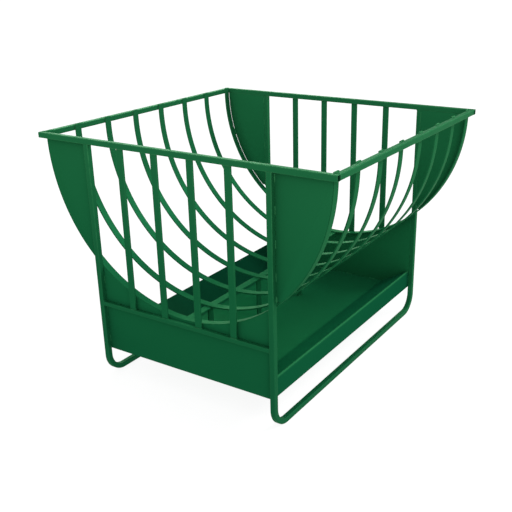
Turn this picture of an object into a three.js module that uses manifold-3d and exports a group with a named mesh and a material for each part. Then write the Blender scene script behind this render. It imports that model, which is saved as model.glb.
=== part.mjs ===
// Free-standing hay rack feeder: a U-shaped basket of bent flat bars hangs in a rectangular
// top rim over a feed tray, and the whole rack stands on two skids.
// Millimetres, +Z up. X runs along the end frames, Y from the front frame to the rear frame.
// The origin is on the ground, at the centre of the rack.

import * as THREE from 'three';
import { mergeVertices } from 'three/addons/utils/BufferGeometryUtils.js';
import Module from 'manifold-3d';

const wasm = await Module();
wasm.setup();

// Overall size
const RIM_WIDTH = 1200;
const RIM_DEPTH = 1140;
const HEIGHT = 910;

// Square tube of the rim and of the two leg frames
const TUBE = 20;
const TUBE_WALL = 1.5;
const LEG_SPREAD = 764;
const SKID_RADIUS = 80;

// Flat bar of the basket, its keel and the struts under the keel
const FLAT_WIDTH = 28;
const FLAT_THICKNESS = 5;
const STRIP_COUNT = 8;
const STRIP_PITCH = 156;
const STRIP_OVERSHOOT = 2;
const STRUT_STRIPS = [2, 4, 6];

// Upright bars of the end frames and the square tube rail that they stand on
const BAR_COUNT = 4;
const BAR_PITCH = 147;
const BAR_WIDTH = 25;
const BAR_THICKNESS = 8;
const RAIL = 15;
const RAIL_WALL = 1.5;
const RAIL_TOP = 307;

// Sheet steel
const SHEET = 2;
const SHEET_BOTTOM = 110;
const TRAY_EDGE = 187;
const TRAY_FLOOR_WIDTH = 470;
const WING_TIP_GAP = 12;
const PLATE_INSET = 3;
const FRONT_WING_INSET = 2;
const REAR_WING_INSET = 5;

// Clearance left between welded neighbours
const GAP = 0.3;

// Derived levels and places
const RIM_UNDERSIDE = HEIGHT - TUBE;
const LEG_OUTER = LEG_SPREAD / 2;
const LEG_INNER = LEG_OUTER - TUBE;
const BASKET_RADIUS = RIM_WIDTH / 2 - TUBE - GAP;
const LAST_STRIP = RIM_DEPTH / 2 - TUBE - FLAT_WIDTH / 2 - GAP;
const KEEL_TOP = RIM_UNDERSIDE - BASKET_RADIUS - GAP;
const KEEL_BOTTOM = KEEL_TOP - FLAT_THICKNESS;
const INNER_LENGTH = RIM_DEPTH - 2 * TUBE - 2 * GAP;

// An outline drawn in the X-Z plane and extruded towards -Y, or in the Y-Z plane towards +X
const FACING_Y = new THREE.Matrix4().makeBasis(
  new THREE.Vector3(1, 0, 0),
  new THREE.Vector3(0, 0, 1),
  new THREE.Vector3(0, -1, 0),
);
const FACING_X = new THREE.Matrix4().makeBasis(
  new THREE.Vector3(0, 1, 0),
  new THREE.Vector3(0, 0, 1),
  new THREE.Vector3(1, 0, 0),
);

function paint() {
  return new THREE.MeshStandardMaterial({ color: 0x17613a, roughness: 0.42, metalness: 0.0 });
}

function piece(name, geometry, x = 0, y = 0, z = 0) {
  const mesh = new THREE.Mesh(geometry, paint());
  mesh.name = name;
  mesh.position.set(x, y, z);
  return mesh;
}

// A flat piece whose outline lies in the X-Z plane; its front face is at y = 0
function plate(shape, thickness, curveSegments = 16) {
  const geometry = new THREE.ExtrudeGeometry(shape, {
    depth: thickness,
    bevelEnabled: false,
    curveSegments,
  });
  geometry.applyMatrix4(FACING_Y);
  geometry.translate(0, thickness, 0);
  return geometry;
}

function squareShape(size) {
  const half = size / 2;
  const shape = new THREE.Shape();
  shape.moveTo(-half, -half);
  shape.lineTo(half, -half);
  shape.lineTo(half, half);
  shape.lineTo(-half, half);
  return shape;
}

// Straight square tube, open at both ends, centred on the origin along X or along Y
function squareTube(size, wall, length, facing) {
  const section = squareShape(size);
  section.holes.push(squareShape(size - 2 * wall));
  const geometry = new THREE.ExtrudeGeometry(section, { depth: length, bevelEnabled: false });
  geometry.translate(0, 0, -length / 2);
  geometry.applyMatrix4(facing);
  return geometry;
}

function toSolid(geometry) {
  const bare = geometry.clone();
  bare.deleteAttribute('normal');
  bare.deleteAttribute('uv');
  const merged = mergeVertices(bare);
  return new wasm.Manifold(new wasm.Mesh({
    numProp: 3,
    vertProperties: new Float32Array(merged.attributes.position.array),
    triVerts: new Uint32Array(merged.index.array),
  }));
}

function toGeometry(solid) {
  const mesh = solid.getMesh();
  const geometry = new THREE.BufferGeometry();
  geometry.setAttribute('position', new THREE.BufferAttribute(mesh.vertProperties, 3));
  geometry.setIndex(new THREE.BufferAttribute(mesh.triVerts, 1));
  geometry.computeVertexNormals();
  return geometry;
}

// Side view of a leg frame: a wide U with round bottom corners, grown or shrunk by inset
function legOutline(inset, top) {
  const outer = RIM_DEPTH / 2 - inset;
  const inner = RIM_DEPTH / 2 - TUBE + inset;
  const outerRadius = SKID_RADIUS - inset;
  const innerRadius = SKID_RADIUS - TUBE + inset;
  const bend = RIM_DEPTH / 2 - SKID_RADIUS;
  const shape = new THREE.Shape();
  shape.moveTo(-outer, top);
  shape.absarc(-bend, SKID_RADIUS, outerRadius, Math.PI, 1.5 * Math.PI, false);
  shape.absarc(bend, SKID_RADIUS, outerRadius, 1.5 * Math.PI, 2 * Math.PI, false);
  shape.lineTo(outer, top);
  shape.lineTo(inner, top);
  shape.absarc(bend, SKID_RADIUS, innerRadius, 2 * Math.PI, 1.5 * Math.PI, true);
  shape.absarc(-bend, SKID_RADIUS, innerRadius, 1.5 * Math.PI, Math.PI, true);
  shape.lineTo(-inner, top);
  return shape;
}

function legBand(inset, width, top) {
  const geometry = new THREE.ExtrudeGeometry(legOutline(inset, top), {
    depth: width,
    bevelEnabled: false,
    curveSegments: 5,
  });
  geometry.translate(0, 0, -width / 2);
  geometry.applyMatrix4(FACING_X);
  return geometry;
}

// One square tube bent into front post, skid and rear post, open at its two top ends
function legFrame(name, x) {
  const top = RIM_UNDERSIDE - GAP;
  const outside = toSolid(legBand(0, TUBE, top));
  const bore = toSolid(legBand(TUBE_WALL, TUBE - 2 * TUBE_WALL, top + 1));
  return piece(name, toGeometry(outside.subtract(bore)), x);
}

function topRim() {
  const rim = new THREE.Group();
  const z = HEIGHT - TUBE / 2;
  const x = (RIM_WIDTH - TUBE) / 2;
  const y = (RIM_DEPTH - TUBE) / 2;
  rim.add(piece('rim_front', squareTube(TUBE, TUBE_WALL, RIM_WIDTH, FACING_X), 0, -y, z));
  rim.add(piece('rim_rear', squareTube(TUBE, TUBE_WALL, RIM_WIDTH, FACING_X), 0, y, z));
  rim.add(piece('rim_left', squareTube(TUBE, TUBE_WALL, INNER_LENGTH, FACING_Y), -x, 0, z));
  rim.add(piece('rim_right', squareTube(TUBE, TUBE_WALL, INNER_LENGTH, FACING_Y), x, 0, z));
  return rim;
}

// Sheet between the posts, cut out above along the curve of the basket
function endPlateShape() {
  const half = LEG_INNER - GAP;
  const radius = BASKET_RADIUS - PLATE_INSET;
  const angle = Math.acos(half / radius);
  const shape = new THREE.Shape();
  shape.moveTo(-half, SHEET_BOTTOM);
  shape.lineTo(half, SHEET_BOTTOM);
  shape.absarc(0, RIM_UNDERSIDE, radius, -angle, angle - Math.PI, true);
  return shape;
}

// Sheet outside a post, rounded along the curve of the basket and cut off flat at its tip
function wingShape(side, inset) {
  const inner = LEG_OUTER + GAP;
  const top = RIM_UNDERSIDE - GAP;
  const basketDrop = Math.sqrt((BASKET_RADIUS - FLAT_THICKNESS) ** 2 - inner ** 2);
  const tip = RIM_UNDERSIDE - basketDrop + WING_TIP_GAP;
  const radius = BASKET_RADIUS - inset;
  const from = Math.asin((tip - RIM_UNDERSIDE) / radius);
  const to = Math.asin((top - RIM_UNDERSIDE) / radius);
  const mirrored = (angle) => (side > 0 ? angle : Math.PI - angle);
  const shape = new THREE.Shape();
  shape.moveTo(side * inner, top);
  shape.lineTo(side * inner, tip);
  shape.absarc(0, RIM_UNDERSIDE, radius, mirrored(from), mirrored(to), side < 0);
  return shape;
}

// Bars and rail flush with the outside of the posts, and sheets flush with their inner side;
// outward is -1 for the front frame and 1 for the rear frame
function endFrame(end, outward, wingInset) {
  const frame = new THREE.Group();
  const barBottom = RAIL_TOP + GAP;
  const barLength = RIM_UNDERSIDE - GAP - barBottom;
  const railCentre = outward * (RIM_DEPTH - RAIL) / 2;
  for (let i = 0; i < BAR_COUNT; i += 1) {
    const x = (i - (BAR_COUNT - 1) / 2) * BAR_PITCH;
    const bar = new THREE.BoxGeometry(BAR_WIDTH, BAR_THICKNESS, barLength);
    frame.add(piece(`end_bar_${end}_${i + 1}`, bar, x, railCentre, barBottom + barLength / 2));
  }
  const rail = squareTube(RAIL, RAIL_WALL, 2 * (LEG_INNER - GAP), FACING_X);
  frame.add(piece(`rail_${end}`, rail, 0, railCentre, RAIL_TOP - RAIL / 2));
  const sheetStart = outward * (RIM_DEPTH / 2 - TUBE + SHEET / 2) - SHEET / 2;
  const left = plate(wingShape(-1, wingInset), SHEET, 10);
  const right = plate(wingShape(1, wingInset), SHEET, 10);
  frame.add(piece(`end_plate_${end}`, plate(endPlateShape(), SHEET), 0, sheetStart));
  frame.add(piece(`wing_${end}_left`, left, 0, sheetStart));
  frame.add(piece(`wing_${end}_right`, right, 0, sheetStart));
  return frame;
}

// Flat bar bent into a half circle, with straight ends that stand just proud of the rim
function stripShape() {
  const inner = BASKET_RADIUS - FLAT_THICKNESS;
  const top = HEIGHT + STRIP_OVERSHOOT;
  const shape = new THREE.Shape();
  shape.moveTo(-BASKET_RADIUS, top);
  shape.absarc(0, RIM_UNDERSIDE, BASKET_RADIUS, Math.PI, 2 * Math.PI, false);
  shape.lineTo(BASKET_RADIUS, top);
  shape.lineTo(inner, top);
  shape.absarc(0, RIM_UNDERSIDE, inner, 2 * Math.PI, Math.PI, true);
  shape.lineTo(-inner, top);
  return shape;
}

// The strips are pitched from the rear sheets, and the first one closes up to the front sheets
function stripCentre(number) {
  return Math.max(LAST_STRIP - (STRIP_COUNT - number) * STRIP_PITCH, -LAST_STRIP);
}

function basket() {
  const group = new THREE.Group();
  for (let number = 1; number <= STRIP_COUNT; number += 1) {
    const strip = plate(stripShape(), FLAT_WIDTH, 20);
    group.add(piece(`basket_strip_${number}`, strip, 0, stripCentre(number) - FLAT_WIDTH / 2));
  }
  const keel = new THREE.BoxGeometry(FLAT_WIDTH, INNER_LENGTH, FLAT_THICKNESS);
  group.add(piece('keel_bar', keel, 0, 0, KEEL_TOP - FLAT_THICKNESS / 2));
  const strutBottom = SHEET_BOTTOM + SHEET + GAP;
  const strutLength = KEEL_BOTTOM - GAP - strutBottom;
  STRUT_STRIPS.forEach((number, index) => {
    const strut = new THREE.BoxGeometry(FLAT_THICKNESS, FLAT_WIDTH, strutLength);
    const z = strutBottom + strutLength / 2;
    group.add(piece(`keel_strut_${index + 1}`, strut, 0, stripCentre(number), z));
  });
  return group;
}

// The line moved sideways by a distance, with mitred corners; left of its direction is positive
function offsetLine(points, distance) {
  const normals = points.slice(1).map((end, i) => {
    const along = end.clone().sub(points[i]).normalize();
    return new THREE.Vector2(-along.y, along.x);
  });
  return points.map((point, i) => {
    const before = normals[Math.max(i - 1, 0)];
    const after = normals[Math.min(i, normals.length - 1)];
    const mitre = before.clone().add(after);
    return point.clone().add(mitre.multiplyScalar(2 * distance / mitre.lengthSq()));
  });
}

// One folded sheet: turned-down edges outside, sloping sides and a flat floor
function tray() {
  const half = LEG_INNER - GAP;
  const floor = SHEET_BOTTOM + SHEET;
  const upper = [
    new THREE.Vector2(-half, SHEET_BOTTOM),
    new THREE.Vector2(-half, TRAY_EDGE),
    new THREE.Vector2(-TRAY_FLOOR_WIDTH / 2, floor),
    new THREE.Vector2(TRAY_FLOOR_WIDTH / 2, floor),
    new THREE.Vector2(half, TRAY_EDGE),
    new THREE.Vector2(half, SHEET_BOTTOM),
  ];
  const lower = offsetLine(upper, -SHEET).reverse();
  const shape = new THREE.Shape([...upper, ...lower]);
  return piece('tray', plate(shape, INNER_LENGTH), 0, -INNER_LENGTH / 2);
}

const feeder = new THREE.Group();
const legCentre = LEG_OUTER - TUBE / 2;
feeder.add(topRim());
feeder.add(legFrame('leg_frame_left', -legCentre));
feeder.add(legFrame('leg_frame_right', legCentre));
feeder.add(endFrame('front', -1, FRONT_WING_INSET));
feeder.add(endFrame('rear', 1, REAR_WING_INSET));
feeder.add(basket());
feeder.add(tray());

export default feeder;
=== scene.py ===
# Hay rack feeder: the painted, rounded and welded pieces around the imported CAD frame.
# Metres, in the CAD frame: X along the end frames, Y from the front frame to the rear, +Z up.
import math
import random

import bmesh
import bpy
from mathutils import Euler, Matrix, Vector


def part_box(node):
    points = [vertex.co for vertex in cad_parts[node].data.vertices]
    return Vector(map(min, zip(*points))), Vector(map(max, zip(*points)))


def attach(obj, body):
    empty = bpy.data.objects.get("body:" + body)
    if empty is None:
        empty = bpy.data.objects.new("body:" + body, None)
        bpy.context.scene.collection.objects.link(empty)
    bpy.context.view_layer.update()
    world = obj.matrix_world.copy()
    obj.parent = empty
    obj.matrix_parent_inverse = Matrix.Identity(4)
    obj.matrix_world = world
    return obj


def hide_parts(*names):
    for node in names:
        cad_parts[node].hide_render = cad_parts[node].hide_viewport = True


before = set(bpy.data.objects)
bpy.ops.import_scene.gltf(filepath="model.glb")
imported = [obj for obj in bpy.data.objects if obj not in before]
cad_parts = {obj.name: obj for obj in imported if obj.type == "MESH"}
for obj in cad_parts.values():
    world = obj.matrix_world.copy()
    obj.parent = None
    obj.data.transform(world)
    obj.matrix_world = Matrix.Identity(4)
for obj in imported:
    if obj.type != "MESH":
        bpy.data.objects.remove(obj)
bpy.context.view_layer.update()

MM = 0.001
X = Vector((1, 0, 0))
Y = Vector((0, 1, 0))
Z = Vector((0, 0, 1))
AXES = (X, Y, Z)
ALONG_X, ALONG_Y, ALONG_Z = range(3)

# Taken from the frame
RIM_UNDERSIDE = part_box("rim_front")[0].z
RIM_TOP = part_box("rim_front")[1].z
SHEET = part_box("wing_front_left")[1].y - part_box("wing_front_left")[0].y
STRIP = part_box("keel_bar")[1].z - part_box("keel_bar")[0].z
BASKET_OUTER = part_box("basket_strip_1")[1].x
BASKET_INNER = BASKET_OUTER - STRIP

# How many of each repeated node there are
END_BARS = 4
STRIPS = 8
STRUTS = 3

# Sections of the stock
TUBE_WALL = 1.5 * MM
TUBE_CORNER = 2.6 * MM
RAIL_CORNER = 2.0 * MM
FLAT_CORNER = 1.1 * MM
STRUT_CORNER = 0.9 * MM
LEAST_CORNER = 0.5 * MM
SHEET_EDGE = 0.45 * MM
CUT_CHAMFER = 0.4 * MM
SAME_DEPTH = 0.001 * MM

# How far a support line stands from a round, and how far a piece reaches into its neighbour's gap
SUPPORT = 0.3 * MM
SEAT = 0.7 * MM

# Bends and folds
CORNER_STEPS = 3
SKID_RADIUS = 80 * MM
SKID_STEPS = 18
STRIP_STEPS = 128
SHEET_ARC_STEPS = 96
TRAY_FLOOR_WIDTH = 470 * MM
FOLD_RADIUS = 4 * MM
FOLD_STEPS = 6

# Largest turn that is shaded smooth, in degrees
SMOOTH_TURN = 40
SHEET_TURN = 60
BEAD_TURN = 75

# Weld beads: radii, steps, ripples, and the taper at both ends, which is at least the root of TAPER_TIP
BEAD = 2.3 * MM
SMALL_BEAD = 1.7 * MM
LARGE_BEAD = 3.4 * MM
TIP_BEAD = 5.2 * MM
BEAD_SIDES = 8
LEAST_STEPS = 8
RIPPLE = 2.6 * MM
RIPPLE_STEPS = 3
RIPPLE_DEPTH = 0.13
BEAD_MEAN = 0.90
UNEVENNESS = 0.05
TAPER_RADII = 1.6
TAPER_TIP = 0.04

# Weld places: lengths, shares of the length of what is joined, and degrees on the basket curve
STITCH = 28 * MM
STITCH_STEPS = 6
EASE = 1 * MM
TIP_BELOW = 5 * MM
TIP_ABOVE = 17 * MM
WING_TO_POST = (0.16, 0.42, 0.68, 0.92)
WING_TO_RIM = (0.2, 0.5, 0.8)
PLATE_TO_POST = (0.08, 0.45, 0.8)
TRAY_TO_PLATE = (-0.8, -0.3, 0.3, 0.8)
INNER_STITCHES = (-18, -36, -144, -162)
OUTER_STITCHES = (-62, -78, -102, -118)

# Camera and studio
CAMERA_PLACE = Vector((1.5710, -2.3914, 1.4669))
CAMERA_AZIMUTH = 32.77
CAMERA_ELEVATION = 21.34
CAMERA_ROLL = -0.88
CAMERA_LENS = 54.11
CAMERA_SHIFT = (-0.0412, 0.0080)
CAMERA_REACH = 1000
FLOOR_SIZE = 400
FLOOR_COLOUR = (0.12, 0.12, 0.12)
FLOOR_ROUGHNESS = 0.9
FLOOR_GLOW = 0.90
SKY_COLOUR = (0.96, 0.99, 1.0)
SKY_STRENGTH = 0.85

# Paint, as linear colour
PAINT = (0.0062, 0.086, 0.0300)
# Pale paint: the colour of the real specks, and of the painted light near the rim and on the tray
PAINT_SPECK_AND_LIT = (0.0220, 0.155, 0.0560)
# Pale edge colour: partly scuffed paint, partly a painted highlight on the rounded edges
PAINT_EDGE = (0.0550, 0.240, 0.0950)
PAINT_DARK = (0.0057, 0.082, 0.0290)
PAINT_SHADE = (0.0006, 0.038, 0.0195)
# Darkest painted shade, for the tray's left slope
PAINT_DARKEST_SHADE = (0.0006, 0.016, 0.0095)
PAINT_SHEEN = (0.45, 1.0, 0.55)
# Painted shade for the inner walls of the tubes: darkened paint standing for the shadow in the bore
BORE_SHADE_COLOUR = (0.0040, 0.050, 0.0200)

# Paint texture: features in a metre, and their height
SPECKS = 420
SPECK_LIGHT = 0.08
WEAR_PATCHES = 34
GLOSS_PATCHES = 18
SAGS = 7
PEEL = 650
PEEL_HEIGHT = 0.06 * MM
PEEL_STRENGTH = 0.35

# Painted shade and painted light in the paint's colour, with edge marks that are partly scuffs, and the
# stretches along an axis or a curvature over which they come in
LOW_SHADE = 0.26
LOW_SHADE_Z = (0.10, 0.70)
LOW_SHADE_Y = (0.10, 0.55)
HIGH_LIGHT = 0.20
HIGH_LIGHT_Z = (0.50, 0.91)
RIDGE = (0.515, 0.60)
HOLLOW = (0.485, 0.42)
EDGE_SCUFF_AND_LIGHT_Z = (0.25, 0.88)
# Painted light and shade on the tray's floor, slopes and fold
TRAY_LOW_SHADE = 0.04
TRAY_LIGHT = 0.70
TRAY_LIGHT_X = (0.02, -0.14)
TRAY_LIGHT_Y = (-0.05, -0.45)
TRAY_REAR_SHADE = 0.28
TRAY_REAR_Y = (-0.10, 0.50)
SLOPE_EDGE = 10 * MM
RIGHT_SLOPE_SHADE = 0.46
LEFT_SLOPE_SHADE = 0.76
FOLD_LIGHT = 0.60
FOLD_LIGHT_X = (0.350, 0.357)
FOLD_LIGHT_Z = (0.177, 0.184)

dice = random.Random(7)


# ---- Meshes ---------------------------------------------------------------------------------

def finish_mesh(name, mesh, material, node=None, sharp=SMOOTH_TURN):
    """Turns a mesh into a smooth-shaded piece on the rack, in place of its CAD node if it has one."""
    work = bmesh.new()
    work.from_mesh(mesh)
    bmesh.ops.recalc_face_normals(work, faces=work.faces)
    work.to_mesh(mesh)
    work.free()
    mesh.polygons.foreach_set("use_smooth", [True] * len(mesh.polygons))
    mesh.set_sharp_from_angle(angle=math.radians(sharp))
    mesh.materials.append(material)
    # Tubes get the painted bore shade on their inner walls
    if any(face.material_index for face in mesh.polygons):
        mesh.materials.append(BORE)
    piece = bpy.data.objects.new(name, mesh)
    bpy.context.scene.collection.objects.link(piece)
    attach(piece, "root")
    if node:
        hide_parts(node)


def loft(name, rings, closed):
    """Skin over a row of rings, which joins the last to the first or else has a cap at each end."""
    mesh = bpy.data.meshes.new(name)
    count = len(rings[0])
    faces = []
    for i in range(len(rings) if closed else len(rings) - 1):
        near = i * count
        far = (i + 1) % len(rings) * count
        for k in range(count):
            after = (k + 1) % count
            faces.append((near + k, near + after, far + after, far + k))
    if not closed:
        last = (len(rings) - 1) * count
        faces.append(tuple(reversed(range(count))))
        faces.append(tuple(range(last, last + count)))
    mesh.from_pydata([point for ring in rings for point in ring], [], faces)
    return mesh


def rounded_section(width, height, radius):
    """Rectangle with round corners, and a support point beside each round so that the flats stay flat."""
    points = []
    for side_x, side_y, start in ((1, -1, -90), (1, 1, 0), (-1, 1, 90), (-1, -1, 180)):
        centre_x = side_x * (width / 2 - radius)
        centre_y = side_y * (height / 2 - radius)
        for step in range(CORNER_STEPS + 1):
            angle = math.radians(start + 90 * step / CORNER_STEPS)
            x = centre_x + radius * math.cos(angle)
            y = centre_y + radius * math.sin(angle)
            along = Vector((-math.sin(angle), math.cos(angle)))
            if step == 0:
                points.append((x - SUPPORT * along.x, y - SUPPORT * along.y))
            points.append((x, y))
            if step == CORNER_STEPS:
                points.append((x + SUPPORT * along.x, y + SUPPORT * along.y))
    return points


def ring_at(station, section):
    """Section set up at a station, which is a place and the directions of width and height."""
    place, across, up = station
    return [place + across * u + up * v for u, v in section]


def with_ends(path):
    """The path with two close stations at each end, for the chamfer of a sawn end."""
    first, second = path[0], path[1]
    before_last, last = path[-2], path[-1]
    ahead = (second[0] - first[0]).normalized()
    back = (before_last[0] - last[0]).normalized()
    start = [(first[0] + ahead * d, *first[1:]) for d in (CUT_CHAMFER, CUT_CHAMFER + SUPPORT)]
    end = [(last[0] + back * d, *last[1:]) for d in (CUT_CHAMFER + SUPPORT, CUT_CHAMFER)]
    return [first, *start, *path[1:-1], *end, last]


def outer_rings(path, width, height, radius):
    """Rounded sections along a path, a little smaller at both ends."""
    stations = with_ends(path)
    full = rounded_section(width, height, radius)
    cut = rounded_section(width - 2 * CUT_CHAMFER, height - 2 * CUT_CHAMFER, radius - CUT_CHAMFER)
    last = len(stations) - 1
    return [ring_at(s, cut if i in (0, last) else full) for i, s in enumerate(stations)]


def bar_mesh(name, path, width, height, radius):
    """Solid flat bar along a path of stations."""
    return loft(name, outer_rings(path, width, height, radius), closed=False)


def tube_mesh(name, path, size, radius):
    """Hollow square tube with open ends along a path of stations."""
    bore = size - 2 * TUBE_WALL
    inside = rounded_section(bore, bore, max(radius - TUBE_WALL, LEAST_CORNER))
    outer = outer_rings(path, size, size, radius)
    inner = [ring_at(station, inside) for station in reversed(path)]
    mesh = loft(name, outer + inner, closed=True)
    first = len(outer) * len(inside)
    bore_faces = mesh.polygons[first:first + (len(inner) - 1) * len(inside)]
    # The inner walls take the painted shade of the bore
    for face in bore_faces:
        face.material_index = 1
    return mesh


def straight(node, along, reach=0.0):
    """Stations at both ends of a node's box along an axis, and its width and height across it."""
    low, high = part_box(node)
    wide, tall = [axis for axis in range(3) if axis != along]
    start = (low + high) / 2
    end = start.copy()
    start[along] = low[along] - reach
    end[along] = high[along] + reach
    path = [(place, AXES[wide], AXES[tall]) for place in (start, end)]
    return path, high[wide] - low[wide], high[tall] - low[tall]


def sheet_mesh(name, outline, near, far):
    """Flat sheet between two planes across Y, its outline given in X and Z, with eased edges."""
    mesh = bpy.data.meshes.new(name)
    work = bmesh.new()
    rim = [work.verts.new((x, near, z)) for x, z in outline]
    face = work.faces.new(rim)
    grown = bmesh.ops.extrude_face_region(work, geom=[face])
    moved = [g for g in grown["geom"] if isinstance(g, bmesh.types.BMVert)]
    bmesh.ops.translate(work, verts=moved, vec=Y * (far - near))
    bmesh.ops.recalc_face_normals(work, faces=work.faces)
    edges = [e for e in work.edges if abs(e.verts[0].co.y - e.verts[1].co.y) < SAME_DEPTH]
    bmesh.ops.bevel(work, geom=edges, offset=SHEET_EDGE, segments=2, affect="EDGES", profile=0.5)
    work.to_mesh(mesh)
    work.free()
    return mesh


def basket_arc(radius, start, end, steps):
    """X-Z points around the basket's axis, between two angles in degrees."""
    angles = [math.radians(start + (end - start) * i / steps) for i in range(steps + 1)]
    return [(radius * math.cos(a), RIM_UNDERSIDE + radius * math.sin(a)) for a in angles]


def filleted(points):
    """The open line of X-Z points with a round fold at each inner corner."""
    line = [points[0]]
    for before, corner, after in zip(points, points[1:], points[2:]):
        corner = Vector(corner)
        back = (Vector(before) - corner).normalized()
        ahead = (Vector(after) - corner).normalized()
        half = back.angle(ahead) / 2
        reach = FOLD_RADIUS / math.tan(half)
        centre = corner + (back + ahead).normalized() * FOLD_RADIUS / math.sin(half)
        start = corner + back * reach - centre
        turn = start.angle_signed(corner + ahead * reach - centre)
        for step in range(FOLD_STEPS + 1):
            angle = -turn * step / FOLD_STEPS
            c, s = math.cos(angle), math.sin(angle)
            line.append((centre.x + c * start.x - s * start.y, centre.y + s * start.x + c * start.y))
    return line + [points[-1]]


def offset_line(points, distance):
    """The X-Z line moved sideways by a distance, to the left of its direction."""
    moved = []
    for i, point in enumerate(points):
        before = Vector(points[max(i - 1, 0)])
        after = Vector(points[min(i + 1, len(points) - 1)])
        along = (after - before).normalized()
        moved.append((point[0] - along.y * distance, point[1] + along.x * distance))
    return moved


# ---- Materials ------------------------------------------------------------------------------

def add(tree, kind, **values):
    """New shader node with its sockets and settings set."""
    node = tree.nodes.new(kind)
    for name, value in values.items():
        if name in node.inputs:
            node.inputs[name].default_value = value
        else:
            setattr(node, name, value)
    return node


def noise(tree, place, scale, detail, roughness):
    node = add(tree, "ShaderNodeTexNoise", Scale=scale, Detail=detail, Roughness=roughness)
    tree.links.new(place, node.inputs["Vector"])
    return node.outputs["Fac"]


def ramp(tree, value, stretch, start=0.0, end=1.0):
    """Goes from start to end while the value goes over the stretch."""
    node = add(tree, "ShaderNodeMapRange")
    tree.links.new(value, node.inputs["Value"])
    for name, number in zip(("From Min", "From Max", "To Min", "To Max"), (*stretch, start, end)):
        node.inputs[name].default_value = number
    return node.outputs["Result"]


def mix(tree, factor, first, second):
    node = add(tree, "ShaderNodeMix", data_type="RGBA")
    tree.links.new(factor, node.inputs["Factor"])
    for socket, value in ((node.inputs[6], first), (node.inputs[7], second)):
        if isinstance(value, tuple):
            socket.default_value = (*value, 1.0)
        else:
            tree.links.new(value, socket)
    return node.outputs[2]


def multiply(tree, first, second):
    node = add(tree, "ShaderNodeMath", operation="MULTIPLY")
    tree.links.new(first, node.inputs[0])
    tree.links.new(second, node.inputs[1])
    return node.outputs[0]


def over(tree, film, colour, *shares):
    """The film with a colour laid over it, by the product of the shares."""
    amount = shares[0]
    for share in shares[1:]:
        amount = multiply(tree, amount, share)
    return mix(tree, amount, film, colour)


def bump(tree, height, distance, strength, under=None):
    node = add(tree, "ShaderNodeBump", Distance=distance, Strength=strength)
    tree.links.new(height, node.inputs["Height"])
    if under:
        tree.links.new(under, node.inputs["Normal"])
    return node.outputs["Normal"]


def plain(name, colour, roughness, specular):
    """Material of one colour, which paint() builds on."""
    material = bpy.data.materials.new(name)
    material.use_nodes = True
    shader = material.node_tree.nodes["Principled BSDF"]
    shader.inputs["Base Color"].default_value = (*colour, 1)
    shader.inputs["Roughness"].default_value = roughness
    shader.inputs["Specular IOR Level"].default_value = specular
    return material


def coordinates(tree, shift):
    """Place in the rack's frame, the same place moved for the noises, and the separate axes."""
    place = add(tree, "ShaderNodeTexCoord").outputs["Object"]
    moved = add(tree, "ShaderNodeMapping", Location=(shift, shift * 0.7, shift * 1.3))
    tree.links.new(place, moved.inputs["Vector"])
    axes = add(tree, "ShaderNodeSeparateXYZ")
    tree.links.new(place, axes.inputs["Vector"])
    return moved.outputs["Vector"], axes.outputs["X"], axes.outputs["Y"], axes.outputs["Z"]


def cloudy_film(tree, place, cloud_scale):
    """Paint of uneven thickness, with fine pale specks."""
    cloud = ramp(tree, noise(tree, place, cloud_scale, 5.0, 0.6), (0.35, 0.68))
    speck = ramp(tree, noise(tree, place, SPECKS, 2.0, 0.5), (0.60, 0.74), 0.0, SPECK_LIGHT)
    return over(tree, mix(tree, cloud, PAINT_DARK, PAINT), PAINT_SPECK_AND_LIT, speck)


def height_shading(tree, film, y, z, low_shade):
    """Painted shade near the ground, except at the rear, and painted light near the rim."""
    low = ramp(tree, z, LOW_SHADE_Z, low_shade, 0.0)
    film = over(tree, film, PAINT_SHADE, low, ramp(tree, y, LOW_SHADE_Y, 1.0, 0.0))
    return over(tree, film, PAINT_SPECK_AND_LIT, ramp(tree, z, HIGH_LIGHT_Z, 0.0, HIGH_LIGHT))


def tray_shading(tree, film, x, y, z):
    """Painted light at the open front left and a painted highlight on the right fold, painted shade to
    the rear and on the slopes.
    """
    half = TRAY_FLOOR_WIDTH / 2
    right_slope = (half - SLOPE_EDGE, half + SLOPE_EDGE)
    left_slope = (SLOPE_EDGE - half, -SLOPE_EDGE - half)
    open_air = ramp(tree, x, TRAY_LIGHT_X, 0.0, TRAY_LIGHT)
    film = over(tree, film, PAINT_SPECK_AND_LIT, open_air, ramp(tree, y, TRAY_LIGHT_Y))
    film = over(tree, film, PAINT_SHADE, ramp(tree, y, TRAY_REAR_Y, 0.0, TRAY_REAR_SHADE))
    film = over(tree, film, PAINT_SHADE, ramp(tree, x, right_slope, 0.0, RIGHT_SLOPE_SHADE))
    film = over(tree, film, PAINT_DARKEST_SHADE, ramp(tree, x, left_slope, 0.0, LEFT_SLOPE_SHADE))
    fold = ramp(tree, x, FOLD_LIGHT_X, 0.0, FOLD_LIGHT)
    return over(tree, film, PAINT_SPECK_AND_LIT, fold, ramp(tree, z, FOLD_LIGHT_Z))


def scuffed_and_lit_edges(tree, film, place, z, scuffs_and_shading):
    """Pale edges in patches, partly scuffed paint and partly painted highlight, paler near the rim as
    painted light, and painted shade in the hollows.
    """
    pointiness = add(tree, "ShaderNodeNewGeometry").outputs["Pointiness"]
    patchy = ramp(tree, noise(tree, place, WEAR_PATCHES, 4.0, 0.65), (0.36, 0.66), 0.25, 1.0)
    # Pale edges, partly scuffs and partly painted highlight, paler towards the rim as painted light
    scuffed_and_lit = ramp(tree, pointiness, RIDGE, 0.0, scuffs_and_shading)
    film = over(tree, film, PAINT_EDGE, scuffed_and_lit, patchy, ramp(tree, z, EDGE_SCUFF_AND_LIGHT_Z, 0.30, 1.0))
    # Painted shade in the hollows
    return over(tree, film, PAINT_SHADE, ramp(tree, pointiness, HOLLOW, 0.0, scuffs_and_shading))


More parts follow.
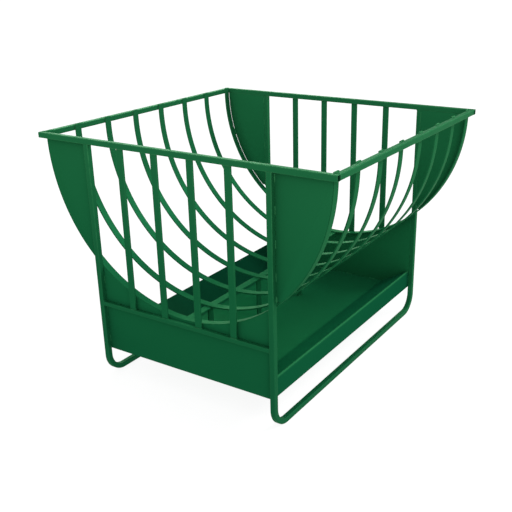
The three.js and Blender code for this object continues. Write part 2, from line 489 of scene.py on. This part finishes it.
def paint(name, cloud_scale, waviness, roughness, sheen, specular, shift, scuffs_and_shading=0.0, tray_shade=False):
    """Satin green paint with a cloudy film, painted shade and light by height, edges partly scuffed and
    partly painted highlight, and orange peel. The tray's paint adds its own painted light and shade.
    """
    material = plain(name, PAINT, roughness, specular)
    tree = material.node_tree
    shader = tree.nodes["Principled BSDF"]
    shader.inputs["Metallic"].default_value = sheen
    shader.inputs["Specular Tint"].default_value = (*PAINT_SHEEN, 1)
    place, x, y, z = coordinates(tree, shift)

    film = cloudy_film(tree, place, cloud_scale)
    film = height_shading(tree, film, y, z, TRAY_LOW_SHADE if tray_shade else LOW_SHADE)
    if tray_shade:
        film = tray_shading(tree, film, x, y, z)
    if scuffs_and_shading:
        film = scuffed_and_lit_edges(tree, film, place, z, scuffs_and_shading)
    tree.links.new(film, shader.inputs["Base Color"])

    patches = noise(tree, place, GLOSS_PATCHES, 4.0, 0.6)
    gloss = ramp(tree, patches, (0.3, 0.7), roughness - 0.06, roughness + 0.07)
    tree.links.new(gloss, shader.inputs["Roughness"])

    sag = bump(tree, noise(tree, place, SAGS, 1.0, 0.4), waviness, 1.0)
    peel = bump(tree, noise(tree, place, PEEL, 2.0, 0.5), PEEL_HEIGHT, PEEL_STRENGTH, sag)
    tree.links.new(peel, shader.inputs["Normal"])
    return material


TUBE_PAINT = paint(
    "tube_paint", cloud_scale=9.0, waviness=0.3 * MM, roughness=0.42,
    sheen=0.20, specular=0.012, shift=0.0, scuffs_and_shading=0.75,
)
FLAT_PAINT = paint(
    "flat_bar_paint", cloud_scale=13.0, waviness=0.3 * MM, roughness=0.42,
    sheen=0.20, specular=0.006, shift=3.1, scuffs_and_shading=0.55,
)
SHEET_PAINT = paint(
    "sheet_paint", cloud_scale=4.5, waviness=0.5 * MM, roughness=0.55,
    sheen=0.15, specular=0.0, shift=7.7,
)
TRAY_PAINT = paint(
    "tray_paint", cloud_scale=3.0, waviness=0.4 * MM, roughness=0.60,
    sheen=0.10, specular=0.0, shift=5.2, tray_shade=True,
)
WELD_PAINT = paint(
    "weld_paint", cloud_scale=60.0, waviness=0.3 * MM, roughness=0.36,
    sheen=0.30, specular=0.080, shift=11.3, scuffs_and_shading=0.75,
)
BORE = plain("bore_shade", BORE_SHADE_COLOUR, roughness=0.7, specular=0.1)


# ---- Straight tubes and bars ----------------------------------------------------------------

def square_tube(node, along, corner, reach=0.0):
    """Straight square tube in place of a node, its corners rounded and its ends open."""
    path, _, size = straight(node, along, reach)
    mesh = tube_mesh(f"{node}_tube", path, size, corner)
    finish_mesh(f"{node}_tube", mesh, TUBE_PAINT, node)


def flat_bar(node, along, corner, reach=0.0):
    """Straight flat bar in place of a node, with rounded corners."""
    path, width, height = straight(node, along, reach)
    mesh = bar_mesh(f"{node}_flat", path, width, height, corner)
    finish_mesh(f"{node}_flat", mesh, FLAT_PAINT, node)


# ---- Legs -----------------------------------------------------------------------------------

def leg_path(low, high):
    """Stations down the front post, round the two bends of the skid and up the rear post."""
    size = high.x - low.x
    x = (low.x + high.x) / 2
    radius = SKID_RADIUS - size / 2
    height = low.z + SKID_RADIUS
    path = [(Vector((x, low.y + size / 2, high.z + SEAT)), X, -Y)]
    for centre, start in ((low.y + SKID_RADIUS, 180), (high.y - SKID_RADIUS, 270)):
        for step in range(SKID_STEPS + 1):
            angle = math.radians(start + 90 * step / SKID_STEPS)
            outward = Vector((0, math.cos(angle), math.sin(angle)))
            path.append((Vector((x, centre, height)) + outward * radius, X, outward))
    path.append((Vector((x, high.y - size / 2, high.z + SEAT)), X, Y))
    return path


def leg_frame(node):
    """One square tube bent into front post, skid and rear post."""
    low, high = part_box(node)
    mesh = tube_mesh(f"{node}_tube", leg_path(low, high), high.x - low.x, TUBE_CORNER)
    finish_mesh(f"{node}_tube", mesh, TUBE_PAINT, node)


# ---- End sheets -----------------------------------------------------------------------------

def end_plate(node):
    """Sheet between the posts, its top cut to the curve of the basket."""
    low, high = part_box(node)
    radius = math.hypot(high.x, RIM_UNDERSIDE - high.z)
    half = high.x + SEAT
    reach = math.degrees(math.acos(half / radius))
    outline = [(-half, low.z), (half, low.z)]
    outline += basket_arc(radius, -reach, reach - 180, SHEET_ARC_STEPS)
    mesh = sheet_mesh(f"{node}_sheet", outline, low.y, high.y)
    finish_mesh(f"{node}_sheet", mesh, SHEET_PAINT, node, sharp=SHEET_TURN)


def wing(node):
    """Sheet outside a post, its outer edge on the curve of the basket and its tip cut off flat."""
    low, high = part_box(node)
    radius = max(high.x, -low.x)
    side = 1 if high.x > 0 else -1
    inner = (low.x if side > 0 else -high.x) - SEAT
    start = math.degrees(math.asin((low.z - RIM_UNDERSIDE) / radius))
    end = math.degrees(math.asin((high.z - RIM_UNDERSIDE) / radius))
    curve = basket_arc(radius, start, end, SHEET_ARC_STEPS // 2)
    top = high.z + SEAT
    outline = [(side * x, z) for x, z in [(inner, top), (inner, low.z), *curve, (radius, top)]]
    mesh = sheet_mesh(f"{node}_sheet", outline, low.y, high.y)
    finish_mesh(f"{node}_sheet", mesh, SHEET_PAINT, node, sharp=SHEET_TURN)


# ---- Basket strips --------------------------------------------------------------------------

def strip_path(low, high):
    """Stations down one side of the basket, round its half circle and up the other side."""
    radius = (high.x - low.x - STRIP + SEAT) / 2
    y = (low.y + high.y) / 2
    path = [(Vector((-radius, y, high.z)), Y, -X)]
    for step in range(STRIP_STEPS + 1):
        angle = math.pi + math.pi * step / STRIP_STEPS
        outward = Vector((math.cos(angle), 0, math.sin(angle)))
        path.append((Vector((0, y, RIM_UNDERSIDE)) + outward * radius, Y, outward))
    path.append((Vector((radius, y, high.z)), Y, X))
    return path


def basket_strip(node):
    """One flat bar bent into a U."""
    low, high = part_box(node)
    mesh = bar_mesh(f"{node}_flat", strip_path(low, high), high.y - low.y, STRIP, FLAT_CORNER)
    finish_mesh(f"{node}_flat", mesh, FLAT_PAINT, node)


# ---- Tray -----------------------------------------------------------------------------------

def tray(node):
    """One folded sheet: turned-down edges, sloping sides and a flat floor, with round folds."""
    low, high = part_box(node)
    left = low.x - SEAT
    corners = [(left, low.z), (left, high.z), (-TRAY_FLOOR_WIDTH / 2, low.z + SHEET)]
    corners += [(-x, z) for x, z in reversed(corners)]
    upper = filleted(corners)
    section = upper + offset_line(upper, -SHEET)[::-1]
    ends = [[Vector((x, y, z)) for x, z in section] for y in (low.y - SEAT, high.y + SEAT)]
    mesh = loft(f"{node}_sheet", ends, closed=False)
    finish_mesh(f"{node}_sheet", mesh, TRAY_PAINT, node)


# ---- Welds ----------------------------------------------------------------------------------

class Welds:
    """Beads gathered into one piece: each is a rippled, tapered string sunk half into its corner."""

    def __init__(self, name):
        self.name = name
        self.points = []
        self.faces = []

    def along(self, route, radius=BEAD):
        """Adds a bead along a route of places."""
        lengths = [(b - a).length for a, b in zip(route, route[1:])]
        total = sum(lengths)
        count = max(LEAST_STEPS, round(total / RIPPLE * RIPPLE_STEPS))
        base = len(self.points)
        for i in range(count + 1):
            distance = total * i / count
            place, ahead = self.point_on(route, lengths, distance)
            edge = min(distance, total - distance) / (TAPER_RADII * radius)
            taper = math.sqrt(max(TAPER_TIP, 1 - (1 - min(1, edge)) ** 2))
            wave = BEAD_MEAN + RIPPLE_DEPTH * math.sin(2 * math.pi * distance / RIPPLE)
            wave += dice.uniform(-UNEVENNESS, UNEVENNESS)
            self.add_ring(place, ahead, radius * taper * wave)
        self.add_skin(base, count)

    @staticmethod
    def point_on(route, lengths, distance):
        """Place at a distance along the route, and the direction there."""
        for a, b, length in zip(route, route[1:], lengths):
            if distance <= length or b is route[-1]:
                ahead = (b - a).normalized()
                return a + ahead * min(distance, length), ahead
            distance -= length

    def add_ring(self, place, ahead, radius):
        """Adds the points of one ring of the bead."""
        across = ahead.orthogonal().normalized()
        up = ahead.cross(across)
        for k in range(BEAD_SIDES):
            angle = 2 * math.pi * k / BEAD_SIDES
            self.points.append(place + (across * math.cos(angle) + up * math.sin(angle)) * radius)

    def add_skin(self, base, count):
        """Adds the faces of a bead of that many steps, whose first point is number base."""
        for i in range(count):
            near = base + i * BEAD_SIDES
            far = near + BEAD_SIDES
            for k in range(BEAD_SIDES):
                after = (k + 1) % BEAD_SIDES
                self.faces.append((near + k, near + after, far + after, far + k))
        self.faces.append(tuple(base + k for k in reversed(range(BEAD_SIDES))))
        self.faces.append(tuple(base + count * BEAD_SIDES + k for k in range(BEAD_SIDES)))

    def line(self, start, end, radius=BEAD):
        self.along([Vector(start), Vector(end)], radius)

    def stitch(self, y, radius, middle):
        """Short weld along the basket curve, centred on an angle in degrees."""
        half = math.degrees(STITCH / radius) / 2
        curve = basket_arc(radius, middle - half, middle + half, STITCH_STEPS)
        self.along([Vector((x, y, z)) for x, z in curve], SMALL_BEAD)

    def make(self):
        mesh = bpy.data.meshes.new(self.name)
        mesh.from_pydata(self.points, [], self.faces)
        finish_mesh(self.name, mesh, WELD_PAINT, sharp=BEAD_TURN)


def side_faces(node, side):
    """X of a node's inner and outer face, on the left (-1) or the right (1)."""
    low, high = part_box(node)
    return (high.x, low.x) if side < 0 else (low.x, high.x)


def end_face(node, end):
    """Y of the face of a node that is nearest to its end of the rack."""
    low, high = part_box(node)
    return low.y if end == "front" else high.y


def bar_welds(welds, end):
    """Around the head of each upright bar, under the rim, and around its foot, on the rail."""
    rail_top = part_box(f"rail_{end}")[1].z
    for number in range(1, END_BARS + 1):
        low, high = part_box(f"end_bar_{end}_{number}")
        for z in (RIM_UNDERSIDE, rail_top):
            for x in (low.x, high.x):
                welds.line((x, low.y, z), (x, high.y, z), SMALL_BEAD)
            for y in (low.y, high.y):
                welds.line((low.x + EASE, y, z), (high.x - EASE, y, z))


def post_welds(welds, end, inner, outer):
    """From a post to the rim above it, and from the rail's end to the post."""
    rim_low, rim_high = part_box(f"rim_{end}")
    rail_low, rail_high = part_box(f"rail_{end}")
    for x in (inner, outer):
        welds.line((x, rim_low.y + EASE, RIM_UNDERSIDE), (x, rim_high.y - EASE, RIM_UNDERSIDE))
    for z in (rail_low.z, rail_high.z):
        welds.line((inner, rail_low.y + EASE, z), (inner, rail_high.y - EASE, z))


def sheet_welds(welds, end, side, name, inner, outer):
    """Stitches of a wing to its post and to the rim, and of the end sheet to the post."""
    face = end_face(f"end_plate_{end}", end)
    low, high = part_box(f"wing_{end}_{name}")
    for share in WING_TO_POST:
        z = low.z + share * (high.z - low.z)
        welds.line((outer, face, z), (outer, face, z + STITCH))
    welds.line((outer, face, low.z - TIP_BELOW), (outer, face, low.z + TIP_ABOVE), TIP_BEAD)
    for share in WING_TO_RIM:
        x = outer + share * side * (high.x - low.x)
        welds.line((x, face, RIM_UNDERSIDE), (x + STITCH, face, RIM_UNDERSIDE), SMALL_BEAD)

    low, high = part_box(f"end_plate_{end}")
    for share in PLATE_TO_POST:
        z = low.z + share * (high.z - low.z)
        welds.line((inner, face, z), (inner, face, z + STITCH), SMALL_BEAD)


def corner_welds(welds, end, side, name):
    """Along the seam of a rim corner, on its inside, outside and top."""
    inside, outside = side_faces(f"rim_{name}", side)
    seam = end_face(f"rim_{name}", end)
    left, right = sorted((inside, outside))
    welds.line((inside, seam, RIM_UNDERSIDE), (inside, seam, RIM_TOP))
    welds.line((outside, seam, RIM_UNDERSIDE + EASE), (outside, seam, RIM_TOP - EASE), SMALL_BEAD)
    welds.line((left + EASE, seam, RIM_TOP), (right - EASE, seam, RIM_TOP), SMALL_BEAD)


def end_welds(end):
    """Welds of one end frame."""
    welds = Welds(f"welds_{end}")
    bar_welds(welds, end)
    for side, name in ((-1, "left"), (1, "right")):
        inner, outer = side_faces(f"leg_frame_{name}", side)
        post_welds(welds, end, inner, outer)
        sheet_welds(welds, end, side, name, inner, outer)
        corner_welds(welds, end, side, name)
    welds.make()


def strip_welds(welds, low, high):
    """From a strip to both sides of the rim, over the rim's top and, except at its ends, to the keel."""
    for x in (low.x, high.x):
        for y in (low.y, high.y):
            welds.line((x, y, RIM_UNDERSIDE + 2 * EASE), (x, y, RIM_TOP - EASE), SMALL_BEAD)
        welds.line((x, low.y - EASE, RIM_TOP), (x, high.y + EASE, RIM_TOP), LARGE_BEAD)
    keel_low, keel_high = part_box("keel_bar")
    for y in (low.y, high.y):
        if keel_low.y + EASE < y < keel_high.y - EASE:
            welds.line((keel_low.x, y, keel_high.z), (keel_high.x, y, keel_high.z), SMALL_BEAD)


def basket_welds():
    """Welds of the strips, of the keel's struts, and of the first and last strips to the end sheets."""
    welds = Welds("welds_basket")
    for number in range(1, STRIPS + 1):
        strip_welds(welds, *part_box(f"basket_strip_{number}"))
    for number in range(1, STRUTS + 1):
        low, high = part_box(f"keel_strut_{number}")
        for x in (low.x, high.x):
            for z in (low.z, high.z):
                welds.line((x, low.y, z), (x, high.y, z), SMALL_BEAD)
    for face in (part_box("end_plate_front")[1].y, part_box("end_plate_rear")[0].y):
        for angle in INNER_STITCHES:
            welds.stitch(face, BASKET_INNER, angle)
        for angle in OUTER_STITCHES:
            welds.stitch(face, BASKET_OUTER, angle)
    welds.make()


def tray_welds():
    """Short welds of the tray's floor to the two end sheets."""
    welds = Welds("welds_tray")
    low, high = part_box("tray")
    floor_top = low.z + SHEET
    for y in (low.y, high.y):
        for share in TRAY_TO_PLATE:
            x = share * TRAY_FLOOR_WIDTH / 2
            welds.line((x - STITCH / 2, y, floor_top), (x + STITCH / 2, y, floor_top))
    welds.make()


# ---- Studio ---------------------------------------------------------------------------------

def floor():
    """Wide white paper under the skids, which glows a little so that it stays white beneath the rack."""
    mesh = bpy.data.meshes.new("floor")
    half = FLOOR_SIZE / 2
    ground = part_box("leg_frame_left")[0].z
    corners = [(-half, -half, ground), (half, -half, ground), (half, half, ground), (-half, half, ground)]
    mesh.from_pydata(corners, [], [(0, 1, 2, 3)])
    paper_white = plain("floor_paper", FLOOR_COLOUR, FLOOR_ROUGHNESS, 0.0)
    shader = paper_white.node_tree.nodes["Principled BSDF"]
    shader.inputs["Emission Color"].default_value = (1, 1, 1, 1)
    shader.inputs["Emission Strength"].default_value = FLOOR_GLOW
    mesh.materials.append(paper_white)
    paper = bpy.data.objects.new("floor", mesh)
    bpy.context.scene.collection.objects.link(paper)


def sun(name, source, energy, angle):
    """Wide, soft lamp that shines from a direction, its angle in degrees."""
    light = bpy.data.lights.new(name, "SUN")
    light.energy = energy
    light.angle = math.radians(angle)
    lamp = bpy.data.objects.new(name, light)
    lamp.rotation_euler = Vector(source).to_track_quat("Z", "Y").to_euler()
    bpy.context.scene.collection.objects.link(lamp)


def studio():
    """Pale room with soft lamps above, beyond both rear corners and at the front right."""
    world = bpy.data.worlds.new("studio")
    world.use_nodes = True
    background = world.node_tree.nodes["Background"]
    background.inputs["Color"].default_value = (*SKY_COLOUR, 1)
    background.inputs["Strength"].default_value = SKY_STRENGTH
    bpy.context.scene.world = world
    bpy.context.scene.view_settings.view_transform = "Standard"
    sun("overhead", source=(-0.05, -0.12, 1.0), energy=0.55, angle=70)
    sun("rear_right", source=(0.50, 0.58, 0.64), energy=2.20, angle=26)
    sun("rear_left", source=(-0.64, 0.74, 0.23), energy=0.85, angle=30)
    sun("front_fill", source=(0.62, -0.70, 0.34), energy=1.25, angle=50)


def camera():
    """Camera at the front right, above the rim, looking down at the rack."""
    data = bpy.data.cameras.new("camera")
    data.lens = CAMERA_LENS
    data.shift_x, data.shift_y = CAMERA_SHIFT
    data.clip_end = CAMERA_REACH
    eye = bpy.data.objects.new("camera", data)
    azimuth = Euler((0, 0, math.radians(CAMERA_AZIMUTH))).to_matrix()
    tilt = Euler((math.radians(90 - CAMERA_ELEVATION), 0, 0)).to_matrix()
    roll = Euler((0, 0, math.radians(CAMERA_ROLL))).to_matrix()
    eye.matrix_world = (azimuth @ tilt @ roll).to_4x4()
    eye.location = CAMERA_PLACE
    bpy.context.scene.collection.objects.link(eye)
    bpy.context.scene.camera = eye


camera()
studio()
floor()

for place in ("front", "rear"):
    square_tube(f"rim_{place}", ALONG_X, TUBE_CORNER)
for place in ("left", "right"):
    square_tube(f"rim_{place}", ALONG_Y, TUBE_CORNER, SEAT)
for place in ("left", "right"):
    leg_frame(f"leg_frame_{place}")
for end in ("front", "rear"):
    for number in range(1, END_BARS + 1):
        flat_bar(f"end_bar_{end}_{number}", ALONG_Z, FLAT_CORNER, SEAT)
    square_tube(f"rail_{end}", ALONG_X, RAIL_CORNER, SEAT)
    end_plate(f"end_plate_{end}")
    wing(f"wing_{end}_left")
    wing(f"wing_{end}_right")
    end_welds(end)
for number in range(1, STRIPS + 1):
    basket_strip(f"basket_strip_{number}")
flat_bar("keel_bar", ALONG_Y, FLAT_CORNER)
for number in range(1, STRUTS + 1):
    flat_bar(f"keel_strut_{number}", ALONG_Z, STRUT_CORNER)
basket_welds()
tray("tray")
tray_welds()
